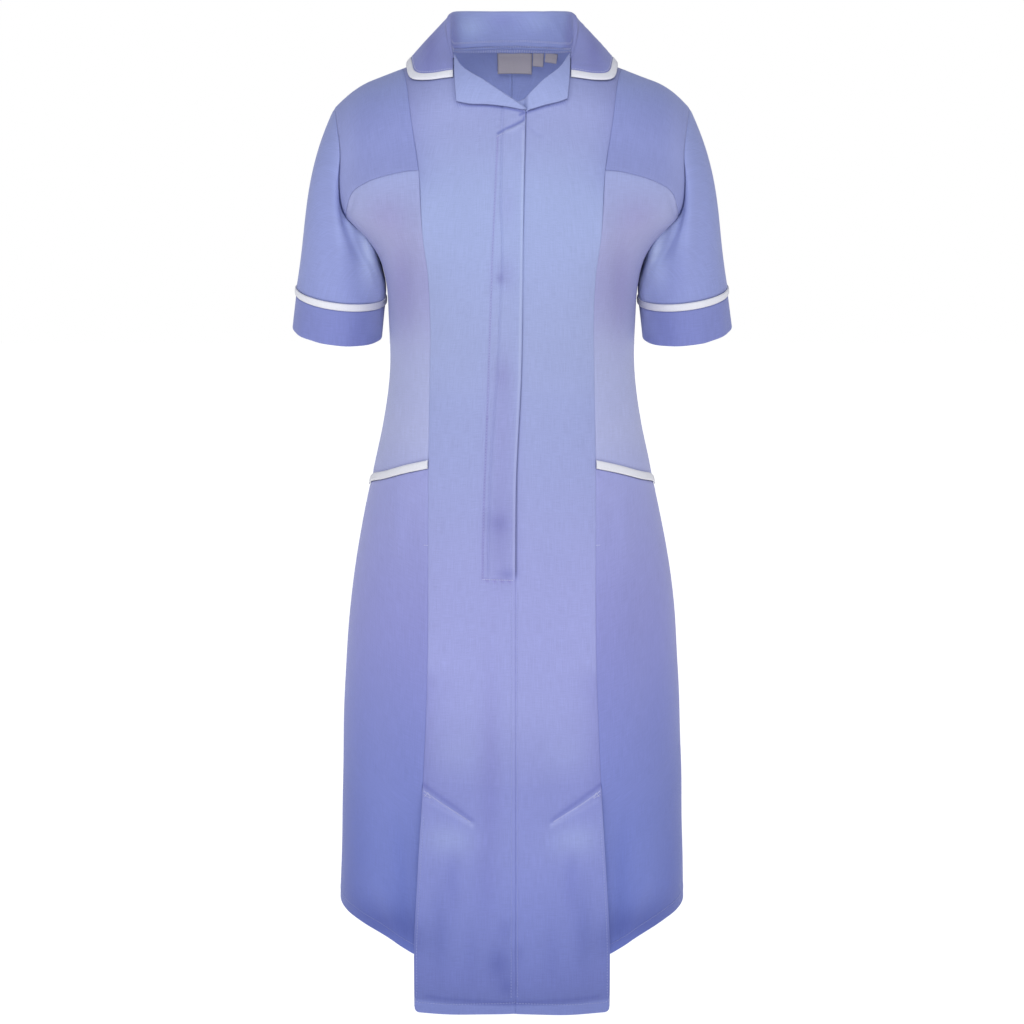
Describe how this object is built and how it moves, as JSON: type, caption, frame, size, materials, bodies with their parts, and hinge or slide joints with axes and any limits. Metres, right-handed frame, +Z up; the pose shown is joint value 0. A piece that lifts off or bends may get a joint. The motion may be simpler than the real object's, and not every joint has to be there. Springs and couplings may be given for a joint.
{
  "type": "nurse uniform dress",
  "caption": "Short-sleeved nurse's tunic dress with white-trimmed collar, cuffs and pockets, fly front and kick pleats, worn and hollow.",
  "frame": {"origin": "middle of the neck opening, level with the collar seam at the nape", "axes": "+Z up, -Y towards the front of the dress, +X towards the wearer's left"},
  "size_m": [0.495, 0.3293, 1.099],
  "materials": {
    "uniform_cloth": "pressed polycotton twill, hospital blue, slight sheen",
    "white_trim": "white woven bias binding",
    "label_cloth": "grey satin label tape"
  },
  "bodies": {
    "root": {"front_right": "uniform_cloth", "front_left": "uniform_cloth", "front_placket": "uniform_cloth", "yoke_right": "uniform_cloth", "yoke_left": "uniform_cloth", "side_front_right": "uniform_cloth", "side_front_left": "uniform_cloth", "side_skirt_right": "uniform_cloth", "side_skirt_left": "uniform_cloth", "pleat_return_right": "uniform_cloth", "pleat_return_left": "uniform_cloth", "back_right": "uniform_cloth", "back_left": "uniform_cloth", "lapel_right": "uniform_cloth", "lapel_left": "uniform_cloth", "collar": "uniform_cloth", "sleeve_right": "uniform_cloth", "sleeve_left": "uniform_cloth", "cuff_right": "uniform_cloth", "cuff_left": "uniform_cloth", "collar_trim": "white_trim", "cuff_trim_right": "white_trim", "cuff_trim_left": "white_trim", "pocket_trim_right": "white_trim", "pocket_trim_left": "white_trim", "neck_label": "label_cloth", "size_tab_inner": "label_cloth", "size_tab_outer": "label_cloth"}
  },
  "joints": []
}
